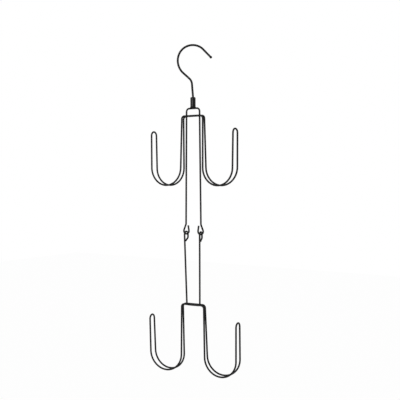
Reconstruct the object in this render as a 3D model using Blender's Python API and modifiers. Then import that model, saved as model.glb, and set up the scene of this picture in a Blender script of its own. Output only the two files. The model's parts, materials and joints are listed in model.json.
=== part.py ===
"""Two-tier hanging rack of black coated steel wire for a closet rod, as its separate pieces.

Metres, +Z up. The origin is where the rod carries the hanging hook: under its crown, on the swivel
axis. X runs along the width of the upper tier and -Y is its front. It runs by itself with
blender --background --python part.py, or from Blender's text editor.
"""

from math import asin, cos, pi, radians, sin, sqrt

import bpy
import numpy as np
from mathutils import Vector

MM = 0.001

# Wire stock, and the gap between pieces that touch or are welded on the real rack
HOOK_WIRE = 3.3 * MM
TIER_WIRE = 2.8 * MM
GAP = 0.3 * MM

# Hanging hook, from the swivel upwards: shank, neck, back, crown and tip
SHANK_STAND = 0.8 * MM
SHANK_LEAN = radians(4.5)
SHANK_RADIUS = 6.0 * MM
SHANK_RUN = 19.5 * MM
NECK_BEND = radians(43.6)
NECK_RADIUS = 12.8 * MM
BACK_BEND = radians(69.0)
BACK_RADIUS = 26.0 * MM
CROWN_BEND = radians(106.0)
CROWN_RADIUS = 23.5 * MM
TIP_BEND = radians(8.7)
TIP_RADIUS = 5.0 * MM
TIP_RUN = 18.0 * MM
TIP_BEAD = 4.2 * MM
HOOK_TURN = radians(35.0)

# Swivel: a turned ferrule that holds the hook by its upset head
HEAD_DIAMETER = 5.4 * MM
HEAD_THICKNESS = 1.6 * MM
HEAD_CHAMFER = 0.3 * MM
FERRULE_DIAMETER = 8.4 * MM
FERRULE_LENGTH = 16.0 * MM
FERRULE_LIP = 1.6 * MM
FERRULE_SHOULDER = 1.8 * MM
FERRULE_FOOT_DIAMETER = 9.6 * MM
FERRULE_FOOT_HEIGHT = 1.4 * MM

# Upper frame: an inverted U of wire with its ends bent into open link hooks
UPPER_HALF_WIDTH = 12.5 * MM
UPPER_CORNER_RADIUS = 5.1 * MM
UPPER_SPLAY = radians(0.6)
UPPER_LEG = 176.8 * MM
LINK_NECK_BEND = radians(23.0)
LINK_NECK_RADIUS = 4.0 * MM
LINK_NECK_RUN = 8.8 * MM
LINK_RADIUS = 4.9 * MM
LINK_TIP_LEAN = radians(9.0)
LINK_TIP_RUN = 8.2 * MM

# Hook loop: one closed wire for each tier, with a double hook on both sides
LOOP_DROP = 11.7 * MM
LOOP_HALF_BAR = 20.1 * MM
LOOP_CORNER_RADIUS = 5.0 * MM
LOOP_INNER_SPLAY = radians(0.8)
LOOP_INNER_LEG = 76.6 * MM
LOOP_BOTTOM_RADIUS = 28.2 * MM
LOOP_OUTER_SPLAY = radians(0.7)
LOOP_OUTER_LEG = 52.4 * MM
STRANDS_APART_AT_CORNER = 4.8 * MM
STRANDS_APART_INSIDE = 9.0 * MM
STRANDS_APART_OUTSIDE = 14.0 * MM
STRANDS_APART_AT_TIP = 12.8 * MM

# Lower frame: a U of wire with its ends closed into eyes
LOWER_LEG = 108.8 * MM
LOWER_SPLAY = radians(1.0)
LOWER_CORNER_RADIUS = 3.0 * MM
LOWER_BAR_SET = 1.0 * MM
EYE_RADIUS = 4.6 * MM
EYE_SIDE = 4.0 * MM
EYE_CLOSE = radians(55.0)
EYE_CLOSE_RADIUS = 3.0 * MM
EYE_TURN = radians(6.0)

# How the lower tier hangs in its loose links: turned within the play of the eyes, and leaning back
# under its own weight
TURN_SHARE = 0.85
LOWER_LEAN = radians(1.7)

# Facets
BEND_STEP = radians(11.5)
WIRE_ROUNDNESS = 4
TURNED_STEPS = 32
EDGE_STEPS = 4

# Colours of the coat
WIRE_BLACK = "#1B1B1D"
FERRULE_BLACK = "#1D1D21"


def clear_scene():
    for old in list(bpy.data.objects):
        bpy.data.objects.remove(old, do_unlink=True)


def coat(name, hex_colour, roughness):
    """A coat on steel. It hides the metal, so it is a dielectric."""
    channels = [int(hex_colour[i : i + 2], 16) / 255 for i in (1, 3, 5)]
    linear = [c / 12.92 if c <= 0.04045 else ((c + 0.055) / 1.055) ** 2.4 for c in channels]
    material = bpy.data.materials.new(name)
    material.use_nodes = True
    shader = material.node_tree.nodes["Principled BSDF"]
    shader.inputs["Base Color"].default_value = (*linear, 1.0)
    shader.inputs["Roughness"].default_value = roughness
    shader.inputs["Metallic"].default_value = 0.0
    return material


def bent(start, heading, moves):
    """Points of a wire bent in one plane, as on a bending machine.

    A move of one number runs straight on by that length. A move of two turns by an angle at a
    radius, to the left for a positive angle.
    """
    points = [Vector(start)]
    for move in moves:
        here = points[-1]
        if len(move) == 1:
            points.append(here + move[0] * Vector((cos(heading), sin(heading))))
            continue
        angle, radius = move
        to_centre = radius if angle > 0 else -radius
        centre = here + to_centre * Vector((-sin(heading), cos(heading)))
        steps = max(1, round(abs(angle) / BEND_STEP))
        for step in range(1, steps + 1):
            now = heading + angle * step / steps
            points.append(centre + to_centre * Vector((sin(now), -cos(now))))
        heading += angle
    return points


def upright(points, y=0.0):
    """Plane points stood up in the XZ plane."""
    return [Vector((p.x, y, p.y)) for p in points]


def flipped(points, axis):
    """The points mirrored across the middle plane of an axis."""
    mirror = Vector((1, 1, 1))
    mirror[axis] = -1
    return [p * mirror for p in points]


def both_sides(half, axis):
    """A wire from its half, which starts next to the middle plane and runs outwards."""
    return flipped(half, axis)[::-1] + half


def wire(name, points, diameter, closed=False, swell=None):
    """A round wire through the points. Swell is the share of the diameter at each point."""
    data = bpy.data.curves.new(name, "CURVE")
    data.dimensions = "3D"
    data.bevel_depth = diameter / 2
    data.bevel_resolution = WIRE_ROUNDNESS
    data.use_fill_caps = not closed
    spline = data.splines.new("POLY")
    spline.points.add(len(points) - 1)
    for index, place in enumerate(points):
        spline.points[index].co = (*place, 1.0)
        spline.points[index].radius = swell[index] if swell else 1.0
    spline.use_cyclic_u = closed
    spline.use_smooth = True
    return data


def turned(name, profile):
    """A turned solid about Z from a profile of radius and height, which runs down its outer side."""
    mesh = bpy.data.meshes.new(name)
    edges = [(i, i + 1) for i in range(len(profile) - 1)]
    mesh.from_pydata([(r, 0, z) for r, z in profile], edges, [])
    return mesh


def add_piece(name, data, parent, material, place=(0, 0, 0), turn=(0, 0, 0)):
    piece = bpy.data.objects.new(name, data)
    piece.parent = parent
    piece.location = place
    piece.rotation_euler = turn
    bpy.data.collections["hanging_rack"].objects.link(piece)
    if not data.materials:
        data.materials.append(None)
    piece.material_slots[0].link = "OBJECT"
    piece.material_slots[0].material = material
    return piece


def add_axis(name, parent, place, turn=(0, 0, 0)):
    """An empty on a joint's axis, for the pieces that move with it."""
    axis = bpy.data.objects.new(name, None)
    axis.empty_display_size = 10 * MM
    axis.parent = parent
    axis.location = place
    axis.rotation_euler = turn
    bpy.data.collections["hanging_rack"].objects.link(axis)
    return axis


def hook_moves():
    """The hanging hook's bends up to the top of its crown, and those from there to its tip.

    The run between neck and back is as long as brings the crown over the swivel axis.
    """
    slope = pi / 2 + SHANK_LEAN + NECK_BEND
    crown_climb = slope - BACK_BEND
    shank = [(SHANK_LEAN, SHANK_RADIUS), (SHANK_RUN,), (NECK_BEND, NECK_RADIUS)]
    back = [(-BACK_BEND, BACK_RADIUS), (-crown_climb, CROWN_RADIUS)]
    past_axis = bent((0, 0), pi / 2, shank + back)[-1].x
    to_crown = shank + [(past_axis / -cos(slope),)] + back
    to_tip = [(crown_climb - CROWN_BEND, CROWN_RADIUS), (-TIP_BEND, TIP_RADIUS), (TIP_RUN,)]
    return to_crown, to_tip


def hook_height():
    """From the top of the ferrule up to the rod, along the swivel axis."""
    to_crown, _ = hook_moves()
    return bent((0, SHANK_STAND), pi / 2, to_crown)[-1].y - HOOK_WIRE / 2


def hanging_hook():
    """The hook in its own plane, seen from the origin under its crown, with the swell of its wire.

    Its head is upset under the ferrule's lip, and a small bead rounds its tip.
    """
    top = -hook_height()
    head_top = top - FERRULE_LIP - GAP
    head_foot = head_top - HEAD_THICKNESS
    head = HEAD_DIAMETER / HOOK_WIRE
    edge = (HEAD_DIAMETER - 2 * HEAD_CHAMFER) / HOOK_WIRE
    heights = [head_foot, head_foot + HEAD_CHAMFER, head_top - HEAD_CHAMFER, head_top]
    points = [Vector((0, z)) for z in heights]
    swell = [edge, head, head, 1.0]

    to_crown, to_tip = hook_moves()
    bends = bent((0, top + SHANK_STAND), pi / 2, to_crown + to_tip)
    along = (bends[-1] - bends[-2]).normalized()
    bead_start = asin(HOOK_WIRE / TIP_BEAD)
    bead_steps = 2 * EDGE_STEPS
    bead_middle = bends[-1] + along * TIP_BEAD / 2 * cos(bead_start)
    points += bends
    swell += [1.0] * len(bends)
    for step in range(1, bead_steps):
        angle = bead_start + (pi - bead_start) * step / bead_steps
        points.append(bead_middle - along * TIP_BEAD / 2 * cos(angle))
        swell.append(TIP_BEAD * sin(angle) / HOOK_WIRE)
    return upright(points), swell


def ferrule_profile():
    """Radius and height from the floor of its bore, up round the lip and down the outer side."""
    bore = HEAD_DIAMETER / 2 + GAP
    eye = HOOK_WIRE / 2 + GAP
    body = FERRULE_DIAMETER / 2
    floor = -FERRULE_LIP - GAP - HEAD_THICKNESS - GAP
    shoulder = [
        (
            body - FERRULE_SHOULDER * (1 - sin(pi / 2 * step / EDGE_STEPS)),
            -FERRULE_SHOULDER * (1 - cos(pi / 2 * step / EDGE_STEPS)),
        )
        for step in range(EDGE_STEPS + 1)
    ]
    foot = FERRULE_FOOT_DIAMETER / 2
    return [
        (0, floor),
        (bore, floor),
        (bore, -FERRULE_LIP),
        (eye, -FERRULE_LIP),
        (eye, 0),
        *shoulder,
        (body, -FERRULE_LENGTH + FERRULE_FOOT_HEIGHT),
        (foot, -FERRULE_LENGTH),
        (0, -FERRULE_LENGTH),
    ]


def upper_frame_half():
    """From the top bar's corner down the leg and round the link hook, with the bar at height 0."""
    corner = (UPPER_HALF_WIDTH - UPPER_CORNER_RADIUS, 0)
    return bent(corner, 0, upper_frame_moves() + [(-LINK_TIP_LEAN - pi / 2, LINK_RADIUS), (LINK_TIP_RUN,)])


def upper_frame_moves():
    """The upper frame's bends from a corner down to the lowest point of the link hook."""
    return [
        (UPPER_SPLAY - pi / 2, UPPER_CORNER_RADIUS),
        (UPPER_LEG,),
        (LINK_NECK_BEND, LINK_NECK_RADIUS),
        (LINK_NECK_RUN,),
        (-LINK_NECK_BEND - UPPER_SPLAY - pi / 2, LINK_RADIUS),
    ]


def link_trough():
    """The lowest point of the right link hook's centre line, from the middle of the top bar."""
    corner = (UPPER_HALF_WIDTH - UPPER_CORNER_RADIUS, 0)
    return bent(corner, 0, upper_frame_moves())[-1]


def hook_loop():
    """The closed wire of one tier, with its bar at height 0. The frame passes between its strands."""
    moves = [
        (LOOP_INNER_SPLAY - pi / 2, LOOP_CORNER_RADIUS),
        (LOOP_INNER_LEG,),
        (pi - LOOP_INNER_SPLAY - LOOP_OUTER_SPLAY, LOOP_BOTTOM_RADIUS),
        (LOOP_OUTER_LEG,),
    ]
    start = (LOOP_HALF_BAR - LOOP_CORNER_RADIUS, 0)
    side = bent(start, 0, moves)
    steps = [(b - a).length for a, b in zip(side, side[1:])]
    travelled = np.concatenate([[0.0], np.cumsum(steps)])
    stations = [len(bent(start, 0, moves[:count])) - 1 for count in range(len(moves) + 1)]
    apart = [
        2 * (TIER_WIRE + GAP),
        STRANDS_APART_AT_CORNER,
        STRANDS_APART_INSIDE,
        STRANDS_APART_OUTSIDE,
        STRANDS_APART_AT_TIP,
    ]
    spread = np.interp(travelled, travelled[stations], apart)
    front = [Vector((p.x, -width / 2, p.y)) for p, width in zip(side, spread)]
    tip_radius = STRANDS_APART_AT_TIP / 2
    tip_steps = round(pi / 2 / BEND_STEP)
    for step in range(1, tip_steps + 1):
        angle = pi / 2 * step / tip_steps
        rise = Vector((0, tip_radius * (1 - cos(angle)), tip_radius * sin(angle)))
        front.append(front[len(side) - 1] + rise)
    right = front + flipped(front, 1)[-2::-1]
    return right + flipped(right, 0)[::-1]


def eye_points():
    """An eye in its own plane: how far back from the leg, and how high over the leg's end.

    It goes over in a half circle and straight down, and its end runs back until it meets the leg.
    """
    short_of_leg = TIER_WIRE / 2 * (1 + cos(EYE_CLOSE)) + GAP
    bent_back = EYE_CLOSE_RADIUS * (1 - cos(EYE_CLOSE))
    end_run = (2 * EYE_RADIUS - bent_back - short_of_leg) / sin(EYE_CLOSE)
    moves = [(-pi, EYE_RADIUS), (EYE_SIDE,), (-EYE_CLOSE, EYE_CLOSE_RADIUS), (end_run,)]
    return bent((0, 0), pi / 2, moves)


def lower_frame_half():
    """From the bottom bar's corner up the leg and round the eye. The link axis is the origin.

    The leg ends under the lowest point of the link hook.
    """
    leg_x = link_trough().x
    top = eye_lift() - EYE_RADIUS
    foot = bent((0, 0), 0, lower_frame_moves())[-1]
    side = bent((leg_x - foot.x, top - foot.y), 0, lower_frame_moves())
    front = -EYE_RADIUS * cos(EYE_TURN)
    eye = [
        Vector((leg_x - back.x * sin(EYE_TURN), front + back.x * cos(EYE_TURN), top + back.y))
        for back in eye_points()[1:]
    ]
    return upright(side, front) + eye


def lower_frame_moves():
    return [(pi / 2 - LOWER_SPLAY, LOWER_CORNER_RADIUS), (LOWER_LEG,)]


def crossing_x():
    """Where the top of the right eye crosses the link hook's wire."""
    return link_trough().x - EYE_RADIUS * sin(EYE_TURN)


def link_rise():
    """How much higher the link hook's wire is at the crossing than at its lowest point."""
    across = link_trough().x - crossing_x()
    return LINK_RADIUS - sqrt(LINK_RADIUS**2 - across**2)


def lower_turn():
    """The lower tier's turn, which takes up a share of the side play of the eyes."""
    play = EYE_RADIUS - TIER_WIRE - GAP
    return asin(TURN_SHARE * play / crossing_x())


def eye_lift():
    """How high the eye's top stands over the link axis when it rests on the link hook's wire.

    Each point near the top of the eye is let down on each point near the bottom of the link hook
    until their centre lines are a wire and a gap apart, and the highest stop counts.
    """
    arc = np.radians(np.arange(-60, 61, 2))
    hook_x = link_trough().x + LINK_RADIUS * np.sin(arc)
    hook_z = LINK_RADIUS * (1 - np.cos(arc)) - link_rise()
    back = EYE_RADIUS * np.sin(arc)
    eye_z = EYE_RADIUS * (np.cos(arc) - 1)
    stops = []
    for turn in (lower_turn(), -lower_turn()):
        side = crossing_x() - back * sin(EYE_TURN)
        x = side * cos(turn) - back * cos(EYE_TURN) * sin(turn)
        y = side * sin(turn) + back * cos(EYE_TURN) * cos(turn)
        level = (x[:, None] - hook_x[None, :]) ** 2 + y[:, None] ** 2
        height = np.sqrt(np.maximum((TIER_WIRE + GAP) ** 2 - level, 0))
        stop = hook_z[None, :] + height - eye_z[:, None]
        stops.append(stop[level < (TIER_WIRE + GAP) ** 2].max())
    return float(max(stops))


def build():
    clear_scene()
    collection = bpy.data.collections.new("hanging_rack")
    bpy.context.scene.collection.children.link(collection)

    ferrule_top = -hook_height()
    bar_height = ferrule_top - FERRULE_LENGTH - GAP - TIER_WIRE / 2
    points, swell = hanging_hook()
    hook_data = wire("hook_wire", points, HOOK_WIRE, swell=swell)
    add_piece("hanging_hook", hook_data, None, coat("hook_coat", WIRE_BLACK, 0.35), turn=(0, 0, HOOK_TURN))

    upper = add_axis("swivel_axis", None, (0, 0, bar_height))
    ferrule = add_piece(
        "swivel_ferrule",
        turned("ferrule", ferrule_profile()),
        upper,
        coat("ferrule_coat", FERRULE_BLACK, 0.3),
        place=(0, 0, ferrule_top - bar_height),
    )
    screw = ferrule.modifiers.new("turned", "SCREW")
    screw.steps = TURNED_STEPS
    screw.render_steps = TURNED_STEPS
    screw.use_merge_vertices = True
    screw.merge_threshold = 0.01 * MM
    screw.use_smooth_shade = True

    upper_half = upright(upper_frame_half())
    upper_wire = wire("upper_frame_wire", both_sides(upper_half, 0), TIER_WIRE)
    add_piece("upper_frame", upper_wire, upper, coat("upper_frame_coat", WIRE_BLACK, 0.35))

    loop = wire("hook_loop_wire", hook_loop(), TIER_WIRE, closed=True)
    add_piece(
        "upper_hook_loop", loop, upper, coat("upper_loop_coat", WIRE_BLACK, 0.35), place=(0, 0, -LOOP_DROP)
    )

    lower = add_axis(
        "link_axis", upper, (0, 0, link_trough().y + link_rise()), turn=(LOWER_LEAN, 0, lower_turn())
    )
    lower_half = lower_frame_half()
    lower_wire = wire("lower_frame_wire", both_sides(lower_half, 0), TIER_WIRE)
    add_piece("lower_frame", lower_wire, lower, coat("lower_frame_coat", WIRE_BLACK, 0.35))
    bar = lower_half[0]
    add_piece(
        "lower_hook_loop",
        loop,
        lower,
        coat("lower_loop_coat", WIRE_BLACK, 0.35),
        place=(0, bar.y, bar.z + LOWER_BAR_SET),
    )


build()
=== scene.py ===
"""Looks of a two-tier hanging rack of black coated wire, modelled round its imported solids.

It is laid out as a Blender add-on and runs as a script. Lengths are in metres, in the rack's own
frame: the origin is under the crown of the hanging hook, +Z is up and -Y is the front.
"""

import json
from math import asin, cos, pi, radians, sin

import bpy
from bpy.props import FloatProperty, FloatVectorProperty, IntProperty, PointerProperty, StringProperty
from mathutils import Matrix, Vector


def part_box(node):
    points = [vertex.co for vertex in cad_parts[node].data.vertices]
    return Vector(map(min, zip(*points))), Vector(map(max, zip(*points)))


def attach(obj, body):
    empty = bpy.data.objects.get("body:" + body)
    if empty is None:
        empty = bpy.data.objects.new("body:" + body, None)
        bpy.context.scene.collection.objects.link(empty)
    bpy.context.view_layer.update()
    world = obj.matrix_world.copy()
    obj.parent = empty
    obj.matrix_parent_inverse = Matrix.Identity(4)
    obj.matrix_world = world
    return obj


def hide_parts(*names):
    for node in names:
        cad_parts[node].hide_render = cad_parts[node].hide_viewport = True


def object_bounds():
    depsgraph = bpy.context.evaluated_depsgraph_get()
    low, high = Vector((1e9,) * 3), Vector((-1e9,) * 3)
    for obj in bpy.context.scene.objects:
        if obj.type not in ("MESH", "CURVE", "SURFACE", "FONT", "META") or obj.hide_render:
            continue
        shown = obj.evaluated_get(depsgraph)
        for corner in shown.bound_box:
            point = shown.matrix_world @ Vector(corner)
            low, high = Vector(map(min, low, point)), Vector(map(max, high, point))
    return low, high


bl_info = {
    "name": "Two-tier wire rack",
    "version": (1, 0, 0),
    "blender": (4, 5, 0),
    "location": "View3D > Sidebar > Rack",
    "description": "Models the wires, the ferrule and the welds of a hanging rack",
    "category": "Object",
}

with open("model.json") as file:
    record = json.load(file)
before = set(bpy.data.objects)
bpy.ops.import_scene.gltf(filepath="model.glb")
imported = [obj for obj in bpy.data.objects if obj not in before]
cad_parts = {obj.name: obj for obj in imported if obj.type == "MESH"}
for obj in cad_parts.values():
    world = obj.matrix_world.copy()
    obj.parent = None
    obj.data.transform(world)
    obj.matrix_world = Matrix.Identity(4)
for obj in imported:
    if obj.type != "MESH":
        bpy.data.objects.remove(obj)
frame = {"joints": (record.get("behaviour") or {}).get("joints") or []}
CAD_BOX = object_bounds()
LINK_HEIGHT = next(j["pos_m"][2] for j in frame["joints"] if j["name"] == "tier_fold")

MM = 0.001
RIGHT = Vector((1, 0, 0))
UP = Vector((0, 0, 1))
# A left turn seen from the front, from the right hand side towards the top, is about this axis
FRONT = Vector((0, -1, 0))
# Edges that turn by more than this stay sharp
SHARP = radians(40)
# How near to a middle plane a cap lies, and how far apart the points of two halves may be to join
IN_PLANE = 0.002 * MM
JOIN = 0.005 * MM
# A noise seldom leaves its middle, so a change of tone is spread over this band of it alone
TONE_BAND = (0.35, 0.65)


def length(name, description, default):
    return FloatProperty(
        name=name, description=description, default=default, unit="LENGTH", subtype="DISTANCE"
    )


def angle(name, description, degrees):
    return FloatProperty(name=name, description=description, default=radians(degrees), subtype="ANGLE")


def share(name, description, default):
    return FloatProperty(
        name=name, description=description, default=default, min=0.0, max=1.0, subtype="FACTOR"
    )


def watts(name, description, default):
    return FloatProperty(name=name, description=description, default=default, unit="POWER")


def colour(name, description, default):
    return StringProperty(name=name, description=description + ", as an sRGB hex value", default=default)


class RackWireSettings(bpy.types.PropertyGroup):
    """Wire stock and how finely it is drawn."""

    hook_diameter: length("Hook wire", "Diameter of the hanging hook's wire", 3.3 * MM)
    tier_diameter: length("Tier wire", "Diameter of the wire of both tiers", 2.8 * MM)
    gap: length("Gap", "Gap between wires that are welded or that touch", 0.3 * MM)
    end_round: length("End rounding", "How far the coat rounds off a cut end", 0.35 * MM)
    sides: IntProperty(name="Sides", description="Facets round a wire", default=24, min=8)
    bend_step: angle("Bend step", "Turn between two rings of a bend", 4.5)


class RackHookSettings(bpy.types.PropertyGroup):
    """The hanging hook, from the swivel up."""

    turn: angle("Turn", "How far the hook is turned on its swivel", 35.0)
    stand: length("Stand", "Straight shank over the ferrule", 0.8 * MM)
    shank_lean: angle("Shank lean", "Lean of the shank to the back of the hook", 4.5)
    shank_radius: length("Shank radius", "Radius of the bend that starts the lean", 6.0 * MM)
    shank_run: length("Shank run", "Straight length of the shank", 19.5 * MM)
    neck_bend: angle("Neck bend", "Bend from the shank to the back", 43.6)
    neck_radius: length("Neck radius", "Radius of the neck", 12.8 * MM)
    neck_run: length("Neck run", "Straight length between neck and back", 12.451 * MM)
    back_bend: angle("Back bend", "Bend of the back", 69.0)
    back_radius: length("Back radius", "Radius of the back", 26.0 * MM)
    crown_bend: angle("Crown bend", "Bend of the crown over the rod", 106.0)
    crown_radius: length("Crown radius", "Radius of the crown", 23.5 * MM)
    tip_bend: angle("Tip bend", "Tighter bend before the tip", 8.7)
    tip_radius: length("Tip radius", "Radius of the tighter bend", 5.0 * MM)
    tip_run: length("Tip run", "Straight length of the tip", 18.0 * MM)
    bead: length("Bead", "Diameter of the rounded bead at the tip", 4.2 * MM)
    head_diameter: length("Head", "Diameter of the upset head in the ferrule", 5.4 * MM)
    head_thickness: length("Head thickness", "Thickness of the upset head", 1.6 * MM)
    head_chamfer: length("Head chamfer", "Chamfer of the upset head", 0.3 * MM)


class RackFerruleSettings(bpy.types.PropertyGroup):
    """The turned ferrule under the hanging hook."""

    top: length("Top", "Height of the ferrule's top over the rod seat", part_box("swivel_ferrule")[1].z)
    diameter: length("Diameter", "Diameter of the body", 8.4 * MM)
    body_length: length("Length", "Length of the body", 16.0 * MM)
    lip: length("Lip", "Thickness of the lip that holds the hook's head", 1.6 * MM)
    shoulder: length("Shoulder", "Radius of the rounded shoulder", 1.8 * MM)
    foot_diameter: length("Foot", "Diameter of the flared foot", 9.6 * MM)
    foot_height: length("Foot height", "Height of the flared foot", 1.4 * MM)
    sides: IntProperty(name="Sides", description="Facets round the ferrule", default=72, min=16)


class RackUpperFrameSettings(bpy.types.PropertyGroup):
    """The upper frame, an inverted U with open link hooks."""

    half_width: length("Half width", "From the middle to a leg at the top", 12.5 * MM)
    corner: length("Corner radius", "Radius of the top corners", 5.1 * MM)
    splay: angle("Splay", "How far a leg leans outwards", 0.6)
    leg: length("Leg", "Straight length of a leg", 176.8 * MM)
    neck_bend: angle("Link neck bend", "Outward bend over the link hook", 23.0)
    neck_radius: length("Link neck radius", "Radius of that bend", 4.0 * MM)
    neck_run: length("Link neck run", "Straight length down to the link hook", 8.8 * MM)
    link_radius: length("Link radius", "Radius of the link hook", 4.9 * MM)
    tip_lean: angle("Link tip lean", "How far the hook's tip leans back to the leg", 9.0)
    tip_run: length("Link tip run", "Straight length of the tip", 8.2 * MM)


class RackLoopSettings(bpy.types.PropertyGroup):
    """The closed wire of one tier, with a double hook on both sides."""

    drop: length("Drop", "From the upper frame's top bar down to the upper loop's bar", 11.7 * MM)
    half_bar: length("Half bar", "From the middle to the inner leg", 20.1 * MM)
    corner: length("Corner radius", "Radius of the bar's corners", 5.0 * MM)
    inner_splay: angle("Inner splay", "How far the inner leg leans outwards", 0.8)
    inner_leg: length("Inner leg", "Straight length of the inner leg", 76.6 * MM)
    bottom_radius: length("Bottom radius", "Radius of the bottom of a hook", 28.2 * MM)
    outer_splay: angle("Outer splay", "How far the outer leg leans outwards", 0.7)
    outer_leg: length("Outer leg", "Straight length of the outer leg", 52.4 * MM)
    apart_at_corner: length("Apart at the corner", "Between the strands at the inner leg's start", 4.8 * MM)
    apart_inside: length("Apart inside", "Between the strands at the inner leg's end", 9.0 * MM)
    apart_outside: length("Apart outside", "Between the strands at the bottom's end", 14.0 * MM)
    apart_at_tip: length("Apart at the tip", "Between the strands under the tip", 12.8 * MM)


class RackLowerFrameSettings(bpy.types.PropertyGroup):
    """The lower frame, a U with its ends closed into eyes."""

    foot_half_width: length("Foot half width", "Half of the straight bottom bar", 8.82 * MM)
    corner: length("Corner radius", "Radius of the bottom corners", 3.0 * MM)
    splay: angle("Splay", "How far a leg leans outwards", 1.0)
    leg: length("Leg", "Straight length of a leg", 108.8 * MM)
    foot_depth: length("Foot depth", "From the link axis down to the bottom bar", 112.4015 * MM)
    bar_set: length("Bar set", "From the bottom bar up to the lower loop's bar", 1.0 * MM)
    eye_radius: length("Eye radius", "Radius of the half circle at an eye's top", 4.6 * MM)
    eye_side: length("Eye side", "Straight length of an eye's back side", 4.0 * MM)
    eye_close: angle("Eye close", "Bend that brings the end back to the leg", 55.0)
    eye_close_radius: length("Eye close radius", "Radius of that bend", 3.0 * MM)
    eye_turn: angle("Eye turn", "How far an eye is turned to the middle", 6.0)
    turn: angle("Tier turn", "Turn of the tier within the play of its links", 5.5271)
    lean: angle("Tier lean", "Lean of the tier under its own weight", 1.7)


class RackWeldSettings(bpy.types.PropertyGroup):
    """The nuggets where wires are pressed together, and the fillet under the ferrule."""

    reach: share("Nugget reach", "Half a nugget's width, as a share of the wire's diameter", 0.62)
    depth: share("Nugget depth", "Depth of a nugget, as a share of its width", 0.42)
    height: share("Nugget height", "Height of a nugget, as a share of its width", 0.85)
    unevenness: length("Unevenness", "How far a nugget's surface goes in and out", 0.04 * MM)
    lower_spread: share("Lower spread", "How far out along the foot the lower welds sit", 0.75)
    fillet_overlap: length("Fillet overlap", "How far the fillet reaches up the foot", 0.3 * MM)
    fillet_inset: length("Fillet inset", "How much narrower than the foot it starts", 0.1 * MM)
    fillet_ring: length("Fillet ring", "Height of one ring of the fillet", 0.4 * MM)
    fillet_sides: IntProperty(name="Fillet sides", description="Facets round it", default=48, min=8)


class RackFinishSettings(bpy.types.PropertyGroup):
    """Colours, gloss and surface patterns."""

    coat_dark: colour("Coat, dark", "Dark tone of the powder coat", "#090909")
    coat_light: colour("Coat, light", "Light tone of the powder coat", "#111111")
    coat_worn: colour("Coat, worn", "Tone where the coat is rubbed by use", "#202020")
    coat_roughness: share("Coat roughness", "Mean roughness of the powder coat", 0.42)
    coat_spread: share("Coat spread", "How far its roughness goes up and down", 0.1)
    worn_roughness: share("Worn roughness", "Roughness where the coat is rubbed by use", 0.26)
    weld_roughness: share("Weld roughness", "Roughness of the coat on the roughest lumps", 0.65)
    ferrule_dark: colour("Ferrule, dark", "Dark tone of the ferrule's enamel", "#050505")
    ferrule_light: colour("Ferrule, light", "Light tone of the ferrule's enamel", "#090909")
    ferrule_roughness: share("Ferrule roughness", "Mean roughness of the enamel", 0.215)
    ferrule_spread: share("Ferrule spread", "How far its roughness goes up and down", 0.065)
    # The studio is white all round, which at the usual level of 0.5 would turn these blacks to a dark
    # grey, so the coats reflect less of it
    coat_reflection: share("Coat reflection", "Specular level of the powder coat", 0.1)
    ferrule_reflection: share("Ferrule reflection", "Specular level of the enamel", 0.12)
    patches: length("Patches", "Size of the thicker and thinner stretches of the coat", 25.0 * MM)
    clouds: length("Clouds", "Size of the faint clouds in the enamel", 4.0 * MM)
    # The real ripples and tool marks are a few micrometres deep, and the marks and the grit a tenth
    # of a millimetre wide. They are drawn deeper and coarser, as much as they need to show
    peel: length("Orange peel", "Size of the ripples in the powder coat", 0.9 * MM)
    peel_depth: length("Orange peel depth", "Depth of the ripples as drawn", 0.12 * MM)
    grit_apart: length("Grit apart", "Distance from one grain of grit to the next", 2.5 * MM)
    grit_width: length("Grit width", "Width of the nib over a grain as drawn", 0.6 * MM)
    tool_marks: length("Tool marks", "Spacing of the turning marks as drawn", 0.35 * MM)
    tool_mark_depth: length("Tool mark depth", "Depth of the turning marks as drawn", 0.04 * MM)
    lumps: length("Weld lumps", "Size of the lumps on a weld", 0.7 * MM)
    lump_depth: length("Weld lump depth", "Depth of the lumps on a weld", 0.12 * MM)
    seat_rub: length("Seat rub", "How far from the rod seat the coat is rubbed", 9.0 * MM)
    shank_rub: length("Shank rub", "How far from the ferrule's lip the shank is rubbed", 3.0 * MM)
    link_rub: length("Link rub", "How far from a link's contact the coat is rubbed", 4.0 * MM)


class RackStageSettings(bpy.types.PropertyGroup):
    """The camera, the lamps and the floor."""

    azimuth: angle("Azimuth", "How far the camera stands to the right of the front", 34.763)
    elevation: angle("Elevation", "How far the camera looks down", 1.927)
    roll: angle("Roll", "Roll of the camera", -0.197)
    offset: FloatVectorProperty(
        name="Offset",
        description="Where the camera sees the rod seat: to its right, away from it and over it",
        default=(-11.33 * MM, 1190.61 * MM, 241.40 * MM),
        subtype="TRANSLATION",
    )
    lens: FloatProperty(
        name="Lens", description="Focal length on a 36 mm sensor", default=68.31, unit="CAMERA"
    )
    floor_drop: length("Floor drop", "From the lowest wire down to the floor", 0.8)
    floor_size: length("Floor size", "Width of the floor", 14.0)
    floor_colour: colour("Floor", "Colour of the floor's paint", "#F4F4F4")
    floor_white: share("Floor white", "How much of the floor is seen as plain white", 0.97)
    daylight: share("Daylight", "Strength of the even white light", 0.6)
    key_power: watts("Key lamp", "Power of the tall lamp", 21.0)
    strip_power: watts("Strip lamp", "Power of the strip lamp", 38.0)
    fill_power: watts("Fill lamp", "Power of the fill lamp", 3.0)


def linear(hex_colour):
    """A linear colour from an sRGB hex value."""
    channels = [int(hex_colour[i : i + 2], 16) / 255 for i in (1, 3, 5)]
    return (*[c / 12.92 if c <= 0.04045 else ((c + 0.055) / 1.055) ** 2.4 for c in channels], 1.0)


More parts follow.
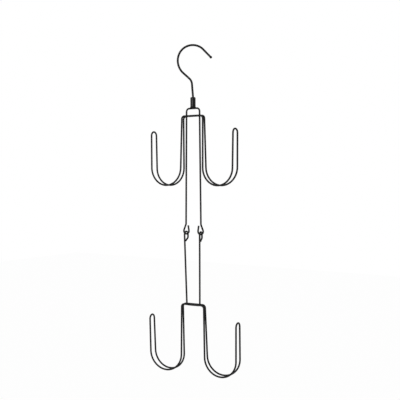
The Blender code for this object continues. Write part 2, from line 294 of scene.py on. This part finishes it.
def add_node(tree, kind, inputs=None, **settings):
    """Adds a shader node with its settings.

    An input goes by its name, or by its number where several share a name. It is a value, or a socket
    to link from.
    """
    node = tree.nodes.new(kind)
    for name, value in settings.items():
        setattr(node, name, value)
    for name, value in (inputs or {}).items():
        if isinstance(value, bpy.types.NodeSocket):
            tree.links.new(value, node.inputs[name])
        else:
            node.inputs[name].default_value = value
    return node


def start_material(name):
    """A new material, its node tree, its shader, and the place that its patterns read."""
    material = bpy.data.materials.new(name)
    material.use_nodes = True
    tree = material.node_tree
    place = add_node(tree, "ShaderNodeTexCoord").outputs["Object"]
    return material, tree, tree.nodes["Principled BSDF"], place


def finish_coat(tree, shader, tone, gloss, bump, reflection):
    """Joins the tone, the gloss and the relief of a coat to its shader. No coat here is metallic."""
    tree.links.new(tone, shader.inputs["Base Color"])
    tree.links.new(gloss, shader.inputs["Roughness"])
    tree.links.new(bump, shader.inputs["Normal"])
    shader.inputs["Metallic"].default_value = 0.0
    shader.inputs["Specular IOR Level"].default_value = reflection


def rubbed_mask(tree, place, spots, core=0.3):
    """White within a spot's core, a share of its size, and fading out from there to its edge."""
    mask = None
    for spot, size in spots:
        far = add_node(tree, "ShaderNodeVectorMath", {0: place, 1: spot}, operation="DISTANCE")
        fade = add_node(
            tree,
            "ShaderNodeMapRange",
            {"Value": far.outputs["Value"], "From Min": size, "From Max": size * core},
            interpolation_type="SMOOTHSTEP",
        ).outputs["Result"]
        if mask:
            fade = add_node(
                tree, "ShaderNodeMath", {0: mask, 1: fade}, operation="MAXIMUM"
            ).outputs["Value"]
        mask = fade
    return mask


def powder_coated_wire(name, spots=()):
    """Drawn steel wire with a satin black powder coat: an even dielectric skin with faint orange peel.

    The ripples are about a millimetre wide and break up the gloss. Where use rubs the coat it is a
    little lighter and smoother.
    """
    finish = bpy.context.scene.rack_finish
    material, tree, shader, place = start_material(name)
    peel = add_node(
        tree, "ShaderNodeTexNoise", {"Vector": place, "Scale": 1 / finish.peel, "Detail": 2.0}
    ).outputs["Fac"]
    # Thicker and thinner stretches of the coat, a few centimetres long
    patches = add_node(
        tree, "ShaderNodeTexNoise", {"Vector": place, "Scale": 1 / finish.patches, "Detail": 3.0}
    ).outputs["Fac"]
    # Grains of grit and dust sealed under the coat, each a small nib
    grit = add_node(
        tree, "ShaderNodeTexVoronoi", {"Vector": place, "Scale": 1 / finish.grit_apart}
    ).outputs["Distance"]
    grain = finish.grit_width / 2 / finish.grit_apart
    nibs = add_node(
        tree, "ShaderNodeMapRange", {"Value": grit, "From Max": grain, "To Min": 1.0, "To Max": 0.0}
    ).outputs["Result"]
    ramp = add_node(tree, "ShaderNodeValToRGB", {"Fac": patches})
    tones = (finish.coat_dark, finish.coat_light)
    for stop, position, tone in zip(ramp.color_ramp.elements, TONE_BAND, tones):
        stop.position = position
        stop.color = linear(tone)
    base = ramp.outputs["Color"]
    gloss = add_node(
        tree,
        "ShaderNodeMapRange",
        {
            "Value": patches,
            "To Min": finish.coat_roughness - finish.coat_spread,
            "To Max": finish.coat_roughness + finish.coat_spread,
        },
    ).outputs["Result"]
    if spots:
        worn = rubbed_mask(tree, place, spots)
        mottle = add_node(
            tree, "ShaderNodeMath", {0: worn, 1: peel}, operation="MULTIPLY"
        ).outputs["Value"]
        # Sockets of a Mix node share their names: 0 is the factor, 2 and 3 mix numbers, 6 and 7 colours
        base = add_node(
            tree, "ShaderNodeMix", {0: mottle, 6: base, 7: linear(finish.coat_worn)}, data_type="RGBA"
        ).outputs[2]
        gloss = add_node(
            tree, "ShaderNodeMix", {0: worn, 2: gloss, 3: finish.worn_roughness}, data_type="FLOAT"
        ).outputs[0]
    height = add_node(tree, "ShaderNodeMath", {0: peel, 1: nibs}, operation="ADD").outputs["Value"]
    bump = add_node(
        tree, "ShaderNodeBump", {"Height": height, "Strength": 0.7, "Distance": finish.peel_depth}
    ).outputs["Normal"]
    finish_coat(tree, shader, base, gloss, bump, finish.coat_reflection)
    return material


def enamelled_turned_steel(name):
    """Turned mild steel under a thin glossy black enamel, so the lathe's rings still show faintly."""
    finish = bpy.context.scene.rack_finish
    material, tree, shader, place = start_material(name)
    # Stretched flat, the noise becomes rings at the spacing of the tool marks
    stretch = 0.02
    flat_place = add_node(
        tree, "ShaderNodeMapping", {"Vector": place, "Scale": (stretch, stretch, 1.0)}
    ).outputs["Vector"]
    rings = add_node(
        tree, "ShaderNodeTexNoise", {"Vector": flat_place, "Scale": 1 / finish.tool_marks, "Detail": 1.0}
    ).outputs["Fac"]
    clouds = add_node(
        tree, "ShaderNodeTexNoise", {"Vector": place, "Scale": 1 / finish.clouds, "Detail": 3.0}
    ).outputs["Fac"]
    ramp = add_node(tree, "ShaderNodeValToRGB", {"Fac": clouds})
    tones = (finish.ferrule_dark, finish.ferrule_light)
    for stop, position, tone in zip(ramp.color_ramp.elements, TONE_BAND, tones):
        stop.position = position
        stop.color = linear(tone)
    gloss = add_node(
        tree,
        "ShaderNodeMapRange",
        {
            "Value": clouds,
            "To Min": finish.ferrule_roughness - finish.ferrule_spread,
            "To Max": finish.ferrule_roughness + finish.ferrule_spread,
        },
    ).outputs["Result"]
    bump = add_node(
        tree, "ShaderNodeBump", {"Height": rings, "Strength": 0.6, "Distance": finish.tool_mark_depth}
    ).outputs["Normal"]
    finish_coat(tree, shader, ramp.outputs["Color"], gloss, bump, finish.ferrule_reflection)
    return material


def coated_weld(name):
    """A small resistance or arc weld under the same powder coat: lumpy and a little duller."""
    finish = bpy.context.scene.rack_finish
    material, tree, shader, place = start_material(name)
    lumps = add_node(
        tree, "ShaderNodeTexNoise", {"Vector": place, "Scale": 1 / finish.lumps, "Detail": 4.0}
    ).outputs["Fac"]
    ramp = add_node(tree, "ShaderNodeValToRGB", {"Fac": lumps})
    for stop, tone in zip(ramp.color_ramp.elements, (finish.coat_dark, finish.coat_light)):
        stop.color = linear(tone)
    gloss = add_node(
        tree,
        "ShaderNodeMapRange",
        {"Value": lumps, "To Min": finish.coat_roughness, "To Max": finish.weld_roughness},
    ).outputs["Result"]
    bump = add_node(
        tree, "ShaderNodeBump", {"Height": lumps, "Strength": 0.7, "Distance": finish.lump_depth}
    ).outputs["Normal"]
    finish_coat(tree, shader, ramp.outputs["Color"], gloss, bump, finish.coat_reflection)
    return material


class Bender:
    """A round wire in edit mode, fed and bent as on a bending machine.

    Its end ring is what is selected, and every step extrudes, spins, moves or sizes that ring.
    """

    def __init__(self, name, start, heading, diameter, sides=None):
        wires = bpy.context.scene.rack_wires
        bpy.ops.object.select_all(action="DESELECT")
        bpy.ops.mesh.primitive_circle_add(
            vertices=sides or wires.sides,
            radius=diameter / 2,
            fill_type="NGON",
            location=start,
            rotation=heading.to_track_quat("Z", "Y").to_euler(),
        )
        bpy.ops.object.transform_apply(location=True, rotation=True, scale=True)
        self.piece = bpy.context.object
        self.piece.name = self.piece.data.name = name
        self.place = Vector(start)
        self.heading = Vector(heading)
        self.radius = diameter / 2
        self.step = wires.bend_step
        bpy.ops.object.mode_set(mode="EDIT")
        bpy.ops.mesh.select_all(action="SELECT")

    def feed(self, run, drift=0.0):
        """Straight on by a run. Drift moves the end to the back by that much."""
        move = self.heading * run + Vector((0, drift, 0))
        bpy.ops.mesh.extrude_region_move(TRANSFORM_OT_translate={"value": move})
        self.place += move

    def bend(self, turn, radius, axis, drift=0.0):
        """Turns the wire by the right hand rule about the axis, ring by ring."""
        steps = max(1, round(abs(turn) / self.step))
        side = radius if turn > 0 else -radius
        for _ in range(steps):
            centre = self.place + side * axis.cross(self.heading)
            # Spin turns against the right hand rule
            bpy.ops.mesh.spin(steps=1, angle=-turn / steps, center=centre, axis=axis)
            rotation = Matrix.Rotation(turn / steps, 3, axis)
            self.place = centre + rotation @ (self.place - centre)
            self.heading = rotation @ self.heading
            if drift:
                bpy.ops.transform.translate(value=(0, drift / steps, 0))
                self.place.y += drift / steps

    def size_to(self, radius):
        """Sizes the end ring to a radius."""
        ratio = radius / self.radius
        bpy.ops.transform.resize(value=(ratio, ratio, ratio), center_override=self.place)
        self.radius = radius

    def step_to(self, radius):
        """A square step from the present radius to another."""
        bpy.ops.mesh.extrude_region_move(TRANSFORM_OT_translate={"value": (0, 0, 0)})
        self.size_to(radius)

    def round_off(self, depth, steps=4):
        """Rounds off the cut end over a depth, as the coat does."""
        rim = self.radius
        for step in range(1, steps + 1):
            before, now = pi / 2 * (step - 1) / steps, pi / 2 * step / steps
            self.feed(depth * (sin(now) - sin(before)))
            self.size_to(rim - depth * (1 - cos(now)))

    def done(self):
        """Leaves edit mode with every face turned outwards and the wire shaded round."""
        bpy.ops.mesh.select_all(action="SELECT")
        bpy.ops.mesh.normals_make_consistent(inside=False)
        bpy.ops.object.mode_set(mode="OBJECT")
        bpy.ops.object.shade_smooth_by_angle(angle=SHARP)
        return self.piece


def open_at(piece, axis):
    """Takes off the caps that lie in the middle plane of an axis, so the mirrored half joins on."""
    bpy.ops.object.mode_set(mode="EDIT")
    bpy.ops.mesh.select_mode(type="FACE")
    bpy.ops.mesh.select_all(action="DESELECT")
    bpy.ops.object.mode_set(mode="OBJECT")
    for face in piece.data.polygons:
        face.select = all(abs(piece.data.vertices[v].co[axis]) < IN_PLANE for v in face.vertices)
    bpy.ops.object.mode_set(mode="EDIT")
    bpy.ops.mesh.delete(type="ONLY_FACE")
    bpy.ops.mesh.select_mode(type="VERT")
    bpy.ops.object.mode_set(mode="OBJECT")


def mirror(piece, *axes):
    """Mirrors the piece across the middle planes of the axes and joins the halves."""
    for axis in axes:
        open_at(piece, axis)
    bpy.ops.object.modifier_add(type="MIRROR")
    halves = piece.modifiers[-1]
    halves.use_axis = [axis in axes for axis in range(3)]
    halves.use_mirror_merge = True
    halves.merge_threshold = JOIN
    bpy.ops.object.modifier_apply(modifier=halves.name)
    bpy.ops.object.mode_set(mode="EDIT")
    bpy.ops.mesh.select_all(action="SELECT")
    bpy.ops.mesh.normals_make_consistent(inside=False)
    bpy.ops.object.mode_set(mode="OBJECT")


def copy_of(piece, name):
    """A copy with its own mesh."""
    bpy.ops.object.select_all(action="DESELECT")
    piece.select_set(True)
    bpy.context.view_layer.objects.active = piece
    bpy.ops.object.duplicate(linked=False)
    double = bpy.context.object
    double.name = double.data.name = name
    return double


def settle(piece, place):
    """Moves the piece to its place and writes that into its mesh."""
    bpy.ops.object.select_all(action="DESELECT")
    piece.select_set(True)
    bpy.context.view_layer.objects.active = piece
    piece.matrix_world = place
    bpy.ops.object.transform_apply(location=True, rotation=True, scale=True)


def dress(piece, material, body, slot, *nodes):
    """Gives the piece its material and body, and lets it stand for its solids."""
    piece.data.materials.clear()
    piece.data.materials.append(material)
    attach(piece, body)
    if nodes:
        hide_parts(*nodes)


def frame_bar():
    """Where the upper frame's top bar is."""
    scene = bpy.context.scene
    below = scene.rack_ferrule.body_length + scene.rack_wires.gap + scene.rack_wires.tier_diameter / 2
    return Vector((0, 0, scene.rack_ferrule.top - below))


def link_points():
    """Where the eyes hang on the link hooks, on the left and on the right."""
    lower = bpy.context.scene.rack_lower_frame
    out = lower.foot_half_width + lower.corner
    return [Vector((side * out, 0, LINK_HEIGHT)) for side in (-1, 1)]


def over_foot(height):
    """The point at a height over the middle of the lower frame's foot, with the tier not yet turned."""
    lower = bpy.context.scene.rack_lower_frame
    return Vector((0, -lower.eye_radius * cos(lower.eye_turn), height - lower.foot_depth))


def lower_tier():
    """The lower tier's place: turned and leaning in its links."""
    lower = bpy.context.scene.rack_lower_frame
    turned = Matrix.Rotation(lower.turn, 4, "Z") @ Matrix.Rotation(lower.lean, 4, "X")
    return Matrix.Translation((0, 0, LINK_HEIGHT)) @ turned


class RACK_OT_hanging_hook(bpy.types.Operator):
    """Bends the hanging hook from its head in the ferrule to the bead at its tip"""

    bl_idname = "rack.hanging_hook"
    bl_label = "Hanging Hook"

    def execute(self, context):
        hook = context.scene.rack_hook
        ferrule = context.scene.rack_ferrule
        wires = context.scene.rack_wires
        finish = context.scene.rack_finish
        side = Matrix.Rotation(hook.turn, 3, "Z") @ RIGHT
        axis = side.cross(UP)
        foot = ferrule.top - ferrule.lip - wires.gap - hook.head_thickness
        edge = hook.head_diameter / 2 - hook.head_chamfer
        wire = Bender("hanging_hook_wire", Vector((0, 0, foot)), UP, 2 * edge)
        wire.feed(hook.head_chamfer)
        wire.size_to(hook.head_diameter / 2)
        wire.feed(hook.head_thickness - 2 * hook.head_chamfer)
        wire.feed(hook.head_chamfer)
        wire.size_to(edge)
        wire.step_to(wires.hook_diameter / 2)
        wire.feed(wires.gap + ferrule.lip + hook.stand)
        wire.bend(hook.shank_lean, hook.shank_radius, axis)
        wire.feed(hook.shank_run)
        wire.bend(hook.neck_bend, hook.neck_radius, axis)
        wire.feed(hook.neck_run)
        wire.bend(-hook.back_bend, hook.back_radius, axis)
        wire.bend(-hook.crown_bend, hook.crown_radius, axis)
        wire.bend(-hook.tip_bend, hook.tip_radius, axis)
        wire.feed(hook.tip_run)
        self.bead(wire, hook.bead / 2)
        rubbed = [(Vector((0, 0, 0)), finish.seat_rub), (Vector((0, 0, ferrule.top)), finish.shank_rub)]
        material = powder_coated_wire("coated_hook_wire", rubbed)
        dress(wire.done(), material, "hook", "hook_coat", "hanging_hook")
        return {"FINISHED"}

    def bead(self, wire, radius, steps=10):
        """The cut end is rounded over into a small bead."""
        start = asin(wire.radius / radius)
        for step in range(1, steps):
            before = start + (pi - start) * (step - 1) / steps
            now = start + (pi - start) * step / steps
            wire.feed(radius * (cos(before) - cos(now)))
            wire.size_to(radius * sin(now))


class RACK_OT_ferrule(bpy.types.Operator):
    """Turns the ferrule: foot, body, rounded shoulder, and the bore that holds the hook's head"""

    bl_idname = "rack.ferrule"
    bl_label = "Swivel Ferrule"

    def execute(self, context):
        ferrule = context.scene.rack_ferrule
        hook = context.scene.rack_hook
        wires = context.scene.rack_wires
        body = ferrule.diameter / 2
        bottom = Vector((0, 0, ferrule.top - ferrule.body_length))
        turning = Bender("ferrule_body", bottom, UP, ferrule.foot_diameter, ferrule.sides)
        self.flare(turning, body, ferrule.foot_height)
        turning.feed(ferrule.body_length - ferrule.foot_height - ferrule.shoulder)
        turning.round_off(ferrule.shoulder, steps=8)
        # Over the lip and down its eye, then out into the bore and down to its floor
        turning.step_to(wires.hook_diameter / 2 + wires.gap)
        turning.heading = -UP
        turning.feed(ferrule.lip)
        turning.step_to(hook.head_diameter / 2 + wires.gap)
        turning.feed(hook.head_thickness + 2 * wires.gap)
        material = enamelled_turned_steel("enamelled_ferrule")
        dress(turning.done(), material, "upper_tier", "ferrule_coat", "swivel_ferrule")
        return {"FINISHED"}

    def flare(self, turning, body, height, steps=4):
        """The foot sweeps in to the body."""
        out = turning.radius - body
        for step in range(1, steps + 1):
            now = pi / 2 * step / steps
            turning.feed(height / steps)
            turning.size_to(body + out * (1 - sin(now)))


class RACK_OT_upper_frame(bpy.types.Operator):
    """Bends the upper frame, with an open link hook at both ends"""

    bl_idname = "rack.upper_frame"
    bl_label = "Upper Frame"

    def execute(self, context):
        upper = context.scene.rack_upper_frame
        wires = context.scene.rack_wires
        wire = Bender("upper_frame_wire", frame_bar(), RIGHT, wires.tier_diameter)
        wire.feed(upper.half_width - upper.corner)
        wire.bend(upper.splay - pi / 2, upper.corner, FRONT)
        wire.feed(upper.leg)
        wire.bend(upper.neck_bend, upper.neck_radius, FRONT)
        wire.feed(upper.neck_run)
        wire.bend(-upper.neck_bend - upper.splay - pi - upper.tip_lean, upper.link_radius, FRONT)
        wire.feed(upper.tip_run - wires.end_round)
        wire.round_off(wires.end_round)
        piece = wire.done()
        mirror(piece, 0)
        rubbed = [(spot, context.scene.rack_finish.link_rub) for spot in link_points()]
        material = powder_coated_wire("coated_upper_frame_wire", rubbed)
        dress(piece, material, "upper_tier", "upper_frame_coat", "upper_frame")
        return {"FINISHED"}


class RACK_OT_hook_loops(bpy.types.Operator):
    """Bends the closed wire of the upper tier, and copies it for the lower one"""

    bl_idname = "rack.hook_loops"
    bl_label = "Hook Loops"

    def execute(self, context):
        loop = context.scene.rack_loop
        lower = context.scene.rack_lower_frame
        wires = context.scene.rack_wires
        apart = 2 * (wires.tier_diameter + wires.gap)
        wire = Bender("upper_loop_wire", Vector((0, -apart / 2, 0)), RIGHT, wires.tier_diameter)
        wire.feed(loop.half_bar - loop.corner)
        wire.bend(loop.inner_splay - pi / 2, loop.corner, FRONT, (apart - loop.apart_at_corner) / 2)
        wire.feed(loop.inner_leg, (loop.apart_at_corner - loop.apart_inside) / 2)
        round_turn = pi - loop.inner_splay - loop.outer_splay
        wire.bend(round_turn, loop.bottom_radius, FRONT, (loop.apart_inside - loop.apart_outside) / 2)
        wire.feed(loop.outer_leg, (loop.apart_outside - loop.apart_at_tip) / 2)
        wire.bend(pi / 2, loop.apart_at_tip / 2, wire.heading.cross(-FRONT))
        piece = wire.done()
        mirror(piece, 0, 1)
        double = copy_of(piece, "lower_loop_wire")
        settle(piece, Matrix.Translation(frame_bar() - loop.drop * UP))
        settle(double, lower_tier() @ Matrix.Translation(over_foot(lower.bar_set)))
        material = powder_coated_wire("coated_upper_loop_wire")
        dress(piece, material, "upper_tier", "upper_loop_coat", "upper_hook_loop")
        material = powder_coated_wire("coated_lower_loop_wire")
        dress(double, material, "lower_tier", "lower_loop_coat", "lower_hook_loop")
        return {"FINISHED"}


class RACK_OT_lower_frame(bpy.types.Operator):
    """Bends the lower frame, with a closed eye at both ends"""

    bl_idname = "rack.lower_frame"
    bl_label = "Lower Frame"

    def execute(self, context):
        lower = context.scene.rack_lower_frame
        wires = context.scene.rack_wires
        wire = Bender("lower_frame_wire", over_foot(0), RIGHT, wires.tier_diameter)
        wire.feed(lower.foot_half_width)
        wire.bend(pi / 2 - lower.splay, lower.corner, FRONT)
        wire.feed(lower.leg)
        # The eye stands upright on its splayed leg
        wire.heading = UP.copy()
        across = Vector((-sin(lower.eye_turn), cos(lower.eye_turn), 0))
        axis = UP.cross(across)
        wire.bend(pi, lower.eye_radius, axis)
        wire.feed(lower.eye_side)
        wire.bend(lower.eye_close, lower.eye_close_radius, axis)
        # The end runs back until it meets the leg
        short_of_leg = wires.tier_diameter / 2 * (1 + cos(lower.eye_close)) + wires.gap
        bent_back = lower.eye_close_radius * (1 - cos(lower.eye_close))
        end_run = (2 * lower.eye_radius - bent_back - short_of_leg) / sin(lower.eye_close)
        wire.feed(end_run - wires.end_round)
        wire.round_off(wires.end_round)
        piece = wire.done()
        mirror(piece, 0)
        settle(piece, lower_tier())
        rubbed = [(spot, context.scene.rack_finish.link_rub) for spot in link_points()]
        material = powder_coated_wire("coated_lower_frame_wire", rubbed)
        dress(piece, material, "lower_tier", "lower_frame_coat", "lower_frame")
        return {"FINISHED"}


class RACK_OT_welds(bpy.types.Operator):
    """Shapes the welds that join the wires of a tier, and the one under the ferrule"""

    bl_idname = "rack.welds"
    bl_label = "Welds"

    def execute(self, context):
        upper = context.scene.rack_upper_frame
        lower = context.scene.rack_lower_frame
        material = coated_weld("coated_weld")
        nugget = self.nugget("weld_upper_1")
        upper_welds = [nugget, *[copy_of(nugget, f"weld_upper_{number}") for number in (2, 3, 4)]]
        lower_welds = [copy_of(nugget, f"weld_lower_{number}") for number in (1, 2, 3, 4)]
        upper_bar = frame_bar() - context.scene.rack_loop.drop * UP
        for weld, spot in zip(upper_welds, self.crossings(upper_bar, upper.half_width)):
            settle(weld, Matrix.Translation(spot))
            dress(weld, material, "upper_tier", "upper_frame_coat")
        spread = lower.foot_half_width * context.scene.rack_welds.lower_spread
        for weld, spot in zip(lower_welds, self.crossings(over_foot(lower.bar_set / 2), spread)):
            settle(weld, lower_tier() @ Matrix.Translation(spot))
            dress(weld, material, "lower_tier", "lower_frame_coat")
        dress(self.foot_weld(), material, "upper_tier", "ferrule_coat")
        return {"FINISHED"}

    def crossings(self, middle, out):
        """Where the front and the back bar of a loop meet its frame, on the left and on the right."""
        wires = bpy.context.scene.rack_wires
        midway = (wires.tier_diameter + wires.gap) / 2
        return [middle + Vector((x, y, 0)) for x in (-out, out) for y in (-midway, midway)]

    def nugget(self, name):
        """A flat lump of metal squeezed out where two wires are pressed together."""
        scene = bpy.context.scene
        welds = scene.rack_welds
        bpy.ops.object.select_all(action="DESELECT")
        bpy.ops.mesh.primitive_ico_sphere_add(
            subdivisions=3, radius=scene.rack_wires.tier_diameter * welds.reach, location=(0, 0, 0)
        )
        piece = bpy.context.object
        piece.name = piece.data.name = name
        bpy.ops.object.mode_set(mode="EDIT")
        bpy.ops.mesh.select_all(action="SELECT")
        bpy.ops.transform.resize(value=(1.0, welds.depth, welds.height), center_override=(0, 0, 0))
        bpy.ops.transform.vertex_random(offset=welds.unevenness, uniform=0.0, normal=1.0, seed=3)
        bpy.ops.mesh.normals_make_consistent(inside=False)
        bpy.ops.object.mode_set(mode="OBJECT")
        bpy.ops.object.modifier_add(type="SUBSURF")
        smooth = piece.modifiers[-1]
        smooth.levels = smooth.render_levels = 1
        bpy.ops.object.modifier_apply(modifier=smooth.name)
        bpy.ops.object.shade_smooth()
        return piece

    def foot_weld(self):
        """The fillet under the ferrule, which runs out along the frame's top bar."""
        ferrule = bpy.context.scene.rack_ferrule
        welds = bpy.context.scene.rack_welds
        start = Vector((0, 0, ferrule.top - ferrule.body_length + welds.fillet_overlap))
        diameter = ferrule.foot_diameter - welds.fillet_inset
        weld = Bender("weld_ferrule", start, -UP, diameter, welds.fillet_sides)
        # Each ring of the fillet: its share of the last one, along the bar and across it
        for along, across in ((1.03, 0.97), (1.04, 0.78), (1.03, 0.66), (0.97, 0.7), (0.86, 0.8)):
            weld.feed(welds.fillet_ring)
            bpy.ops.transform.resize(value=(along, across, 1.0), center_override=weld.place)
        return weld.done()


class RACK_OT_stage(bpy.types.Operator):
    """Sets up the floor, the lamps, the sky and the camera"""

    bl_idname = "rack.stage"
    bl_label = "Stage"

    def execute(self, context):
        stage = context.scene.rack_stage
        self.floor(stage)
        self.sky(stage)
        self.lamp("key_lamp", place=(-0.3, -2.0, -0.2), size=(0.7, 1.6), power=stage.key_power)
        # The strip is there for the gloss alone: what stands upright shows it as a thin bright line
        strip = self.lamp(
            "strip_lamp", place=(0.1, -2.0, -0.2), size=(0.35, 1.6), power=stage.strip_power
        )
        strip.visible_diffuse = False
        self.lamp("fill_lamp", place=(1.9, -0.6, 0.2), size=(1.0, 1.0), power=stage.fill_power)
        self.camera(stage)
        context.scene.view_settings.view_transform = "Standard"
        return {"FINISHED"}

    def floor(self, stage):
        """A wide floor, so far down that the rack can be seen from below."""
        bpy.ops.object.select_all(action="DESELECT")
        low = CAD_BOX[0].z - stage.floor_drop
        bpy.ops.mesh.primitive_plane_add(size=stage.floor_size, location=(0, 0, low))
        floor = bpy.context.object
        floor.name = "floor"
        floor.data.materials.append(self.floor_paint(stage))

    def floor_paint(self, stage):
        """Matt pale paint. It shows white to the camera and in the gloss, and still takes a shadow."""
        material = bpy.data.materials.new("matt_floor_paint")
        material.use_nodes = True
        tree = material.node_tree
        tree.nodes.clear()
        seen = self.seen_rays(tree)
        paint = add_node(tree, "ShaderNodeBsdfDiffuse", {"Color": linear(stage.floor_colour)})
        white = add_node(tree, "ShaderNodeEmission", {"Color": (1, 1, 1, 1), "Strength": 1.0})
        whiteness = add_node(
            tree, "ShaderNodeMath", {0: seen, 1: stage.floor_white}, operation="MULTIPLY"
        ).outputs["Value"]
        mix = add_node(
            tree,
            "ShaderNodeMixShader",
            {"Fac": whiteness, 1: paint.outputs["BSDF"], 2: white.outputs["Emission"]},
        )
        add_node(tree, "ShaderNodeOutputMaterial", {"Surface": mix.outputs["Shader"]})
        return material

    def seen_rays(self, tree):
        """1 for the rays that show the background itself: straight, in gloss or through glass."""
        rays = add_node(tree, "ShaderNodeLightPath")
        seen = rays.outputs["Is Camera Ray"]
        for kind in ("Is Glossy Ray", "Is Transmission Ray"):
            seen = add_node(
                tree, "ShaderNodeMath", {0: seen, 1: rays.outputs[kind]}, operation="MAXIMUM"
            ).outputs["Value"]
        return seen

    def sky(self, stage):
        """White to the camera and in the gloss, and a softer even light on everything."""
        world = bpy.data.worlds.new("white_sky")
        bpy.context.scene.world = world
        world.use_nodes = True
        tree = world.node_tree
        tree.nodes.clear()
        seen = self.seen_rays(tree)
        strength = add_node(
            tree, "ShaderNodeMapRange", {"Value": seen, "To Min": stage.daylight, "To Max": 1.0}
        ).outputs["Result"]
        light = add_node(tree, "ShaderNodeBackground", {"Color": (1, 1, 1, 1), "Strength": strength})
        add_node(tree, "ShaderNodeOutputWorld", {"Surface": light.outputs["Background"]})

    def lamp(self, name, place, size, power):
        """A flat lamp that faces the middle of the rack."""
        bpy.ops.object.light_add(type="AREA", location=place)
        lamp = bpy.context.object
        lamp.name = lamp.data.name = name
        lamp.data.energy = power
        lamp.data.shape = "RECTANGLE"
        lamp.data.size, lamp.data.size_y = size
        middle = (CAD_BOX[0] + CAD_BOX[1]) / 2
        lamp.rotation_euler = (middle - Vector(place)).to_track_quat("-Z", "Y").to_euler()
        return lamp

    def camera(self, stage):
        """Stands where the photograph was taken from."""
        look = (
            Matrix.Rotation(stage.elevation, 3, "X")
            @ Matrix.Rotation(stage.roll, 3, "Y")
            @ Matrix.Rotation(-stage.azimuth, 3, "Z")
        ).transposed()
        bpy.ops.object.camera_add(location=look @ -Vector(stage.offset))
        camera = bpy.context.object
        camera.name = camera.data.name = "camera"
        camera.rotation_euler = (look @ Matrix.Rotation(pi / 2, 3, "X")).to_euler()
        camera.data.sensor_width = 36.0
        camera.data.lens = stage.lens
        camera.data.clip_start = 0.01
        camera.data.clip_end = 100.0
        bpy.context.scene.camera = camera


class RACK_PT_pieces(bpy.types.Panel):
    """The rack's pieces and its stage"""

    bl_label = "Hanging Rack"
    bl_space_type = "VIEW_3D"
    bl_region_type = "UI"
    bl_category = "Rack"

    def draw(self, context):
        for operator in OPERATORS:
            self.layout.operator(operator.bl_idname)


SETTINGS = {
    "rack_wires": RackWireSettings,
    "rack_hook": RackHookSettings,
    "rack_ferrule": RackFerruleSettings,
    "rack_upper_frame": RackUpperFrameSettings,
    "rack_loop": RackLoopSettings,
    "rack_lower_frame": RackLowerFrameSettings,
    "rack_welds": RackWeldSettings,
    "rack_finish": RackFinishSettings,
    "rack_stage": RackStageSettings,
}
OPERATORS = (
    RACK_OT_hanging_hook,
    RACK_OT_ferrule,
    RACK_OT_upper_frame,
    RACK_OT_hook_loops,
    RACK_OT_lower_frame,
    RACK_OT_welds,
    RACK_OT_stage,
)


def register():
    for group in (*SETTINGS.values(), *OPERATORS, RACK_PT_pieces):
        bpy.utils.register_class(group)
    for name, group in SETTINGS.items():
        setattr(bpy.types.Scene, name, PointerProperty(type=group))


def unregister():
    for name in SETTINGS:
        delattr(bpy.types.Scene, name)
    for group in (RACK_PT_pieces, *reversed(OPERATORS), *reversed(SETTINGS.values())):
        bpy.utils.unregister_class(group)


def main():
    register()
    bpy.ops.rack.hanging_hook()
    bpy.ops.rack.ferrule()
    bpy.ops.rack.upper_frame()
    bpy.ops.rack.hook_loops()
    bpy.ops.rack.lower_frame()
    bpy.ops.rack.welds()
    bpy.ops.rack.stage()


if __name__ == "__main__":
    main()
